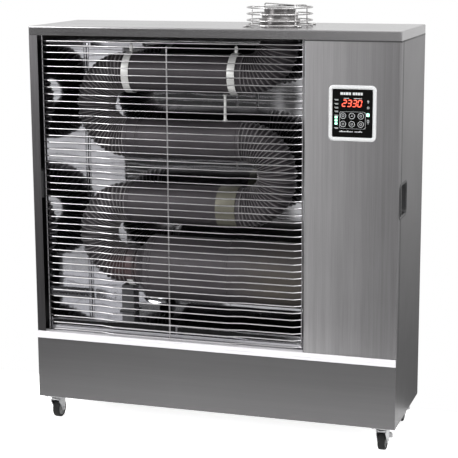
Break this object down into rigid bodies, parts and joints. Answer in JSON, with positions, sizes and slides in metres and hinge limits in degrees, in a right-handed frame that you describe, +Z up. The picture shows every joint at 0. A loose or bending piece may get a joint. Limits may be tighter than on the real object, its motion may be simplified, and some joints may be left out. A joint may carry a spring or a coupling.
{
  "type": "radiant tube heater",
  "caption": "Upright oil-fired infrared heater: serpentine flue tubes before mirrored reflectors behind a wire guard, with a control column, caged flue outlet and swivel casters.",
  "frame": {"origin": "on the floor under the centre of the overall box", "axes": "+Z up, the guard and the control panel face -Y, the control column is at +X"},
  "size_m": [0.974, 0.319, 1.1141],
  "materials": {
    "brushed_panel": "vertically brushed, dark grey tint",
    "skirt_panel": "satin dark grey",
    "satin_trim": "satin",
    "polished_sheet": "mirror polished",
    "hot_tube": "heat-darkened matte, with faint tempering colours",
    "bright_wire": "bright plated wire",
    "zinc_plate": "zinc plated",
    "painted_steel": "matte dark paint",
    "wheel_rubber": "matte",
    "black_plastic": "fine texture",
    "black_gloss": "glossy",
    "silver_plastic": "silver paint",
    "brass": "plain",
    "board": "solder mask"
  },
  "bodies": {
    "cabinet": {"back_reflector": "polished_sheet", "base_plate": "painted_steel", "burner_housing": "painted_steel", "burner_line": "brass", "burner_motor": "painted_steel", "burner_nozzle": "brass", "ceiling_shield": "polished_sheet", "chamber_support": "painted_steel", "combustion_chamber": "hot_tube", "control_bezel": "silver_plastic", "control_board": "board", "control_column_panel": "brushed_panel", "control_face": "black_gloss", "floor_reflector": "polished_sheet", "flue_collar": "zinc_plate", "flue_elbow": "hot_tube", "flue_guard_cage": "bright_wire", "fuel_pump": "zinc_plate", "fuel_tank": "painted_steel", "guard_grille": "bright_wire", "ignition_transformer": "black_plastic", "left_handle_cup": "black_plastic", "left_hanger_strap": "satin_trim", "left_reflector": "polished_sheet", "left_side_panel": "brushed_panel", "lid": "brushed_panel", "lower_front_panel": "skirt_panel", "lower_left_bend": "hot_tube", "partition": "polished_sheet", "power_inlet": "black_plastic", "rear_panel": "brushed_panel", "right_bend": "hot_tube", "right_handle_cup": "black_plastic", "right_hanger_strap": "satin_trim", "right_side_panel": "brushed_panel", "second_tube": "hot_tube", "supply_line": "brass", "third_tube": "hot_tube", "top_tube": "hot_tube", "trim_bar": "satin_trim", "tube_strut": "satin_trim", "upper_left_bend": "hot_tube"},
    "blower": {"blower_wheel": "zinc_plate"},
    "fuel_cap": {"fuel_cap": "black_plastic"},
    "button_1": {"button_1": "black_gloss"},
    "button_2": {"button_2": "black_gloss"},
    "button_3": {"button_3": "black_gloss"},
    "button_4": {"button_4": "black_gloss"},
    "button_5": {"button_5": "black_gloss"},
    "button_6": {"button_6": "black_gloss"},
    "front_left_caster": {"front_left_fork": "zinc_plate"},
    "front_left_wheel": {"front_left_wheel": "wheel_rubber"},
    "front_right_caster": {"front_right_fork": "zinc_plate"},
    "front_right_wheel": {"front_right_wheel": "wheel_rubber"},
    "front_right_brake": {"front_right_brake_lever": "zinc_plate"},
    "rear_left_caster": {"rear_left_fork": "zinc_plate"},
    "rear_left_wheel": {"rear_left_wheel": "wheel_rubber"},
    "rear_right_caster": {"rear_right_fork": "zinc_plate"},
    "rear_right_wheel": {"rear_right_wheel": "wheel_rubber"},
    "rear_right_brake": {"rear_right_brake_lever": "zinc_plate"}
  },
  "joints": [
    {"name": "blower_spin", "type": "hinge", "parent": "cabinet", "child": "blower", "pos_m": [0.3165, 0.0015, 0.41], "axis": [1, 0, 0], "continuous": true},
    {"name": "fuel_cap_turn", "type": "hinge", "parent": "cabinet", "child": "fuel_cap", "pos_m": [-0.4, 0.12753, 0.24053], "axis": [0, 0.7071, 0.7071], "range_deg": [0, 360]},
    {"name": "button_1_press", "type": "slide", "parent": "cabinet", "child": "button_1", "axis": [0, 1, 0], "range_m": [0, 0.0008], "stiffness_N_per_m": 400},
    {"name": "button_2_press", "type": "slide", "parent": "cabinet", "child": "button_2", "axis": [0, 1, 0], "range_m": [0, 0.0008], "stiffness_N_per_m": 400},
    {"name": "button_3_press", "type": "slide", "parent": "cabinet", "child": "button_3", "axis": [0, 1, 0], "range_m": [0, 0.0008], "stiffness_N_per_m": 400},
    {"name": "button_4_press", "type": "slide", "parent": "cabinet", "child": "button_4", "axis": [0, 1, 0], "range_m": [0, 0.0008], "stiffness_N_per_m": 400},
    {"name": "button_5_press", "type": "slide", "parent": "cabinet", "child": "button_5", "axis": [0, 1, 0], "range_m": [0, 0.0008], "stiffness_N_per_m": 400},
    {"name": "button_6_press", "type": "slide", "parent": "cabinet", "child": "button_6", "axis": [0, 1, 0], "range_m": [0, 0.0008], "stiffness_N_per_m": 400},
    {"name": "front_left_swivel", "type": "hinge", "parent": "cabinet", "child": "front_left_caster", "pos_m": [-0.448, -0.128, 0.0585], "axis": [0, 0, 1], "continuous": true},
    {"name": "front_left_wheel_spin", "type": "hinge", "parent": "front_left_caster", "child": "front_left_wheel", "pos_m": [-0.448, -0.114, 0.025], "axis": [1, 0, 0], "continuous": true},
    {"name": "front_right_swivel", "type": "hinge", "parent": "cabinet", "child": "front_right_caster", "pos_m": [0.448, -0.128, 0.0585], "axis": [0, 0, 1], "continuous": true},
    {"name": "front_right_wheel_spin", "type": "hinge", "parent": "front_right_caster", "child": "front_right_wheel", "pos_m": [0.448, -0.114, 0.025], "axis": [1, 0, 0], "continuous": true},
    {"name": "front_right_brake_press", "type": "hinge", "parent": "front_right_caster", "child": "front_right_brake", "pos_m": [0.448, -0.092, 0.05], "axis": [-1, 0, 0], "range_deg": [0, 12]},
    {"name": "rear_left_swivel", "type": "hinge", "parent": "cabinet", "child": "rear_left_caster", "pos_m": [-0.448, 0.105, 0.0585], "axis": [0, 0, 1], "continuous": true},
    {"name": "rear_left_wheel_spin", "type": "hinge", "parent": "rear_left_caster", "child": "rear_left_wheel", "pos_m": [-0.448, 0.119, 0.025], "axis": [1, 0, 0], "continuous": true},
    {"name": "rear_right_swivel", "type": "hinge", "parent": "cabinet", "child": "rear_right_caster", "pos_m": [0.448, 0.105, 0.0585], "axis": [0, 0, 1], "continuous": true},
    {"name": "rear_right_wheel_spin", "type": "hinge", "parent": "rear_right_caster", "child": "rear_right_wheel", "pos_m": [0.448, 0.119, 0.025], "axis": [1, 0, 0], "continuous": true},
    {"name": "rear_right_brake_press", "type": "hinge", "parent": "rear_right_caster", "child": "rear_right_brake", "pos_m": [0.448, 0.141, 0.05], "axis": [-1, 0, 0], "range_deg": [0, 12]}
  ]
}
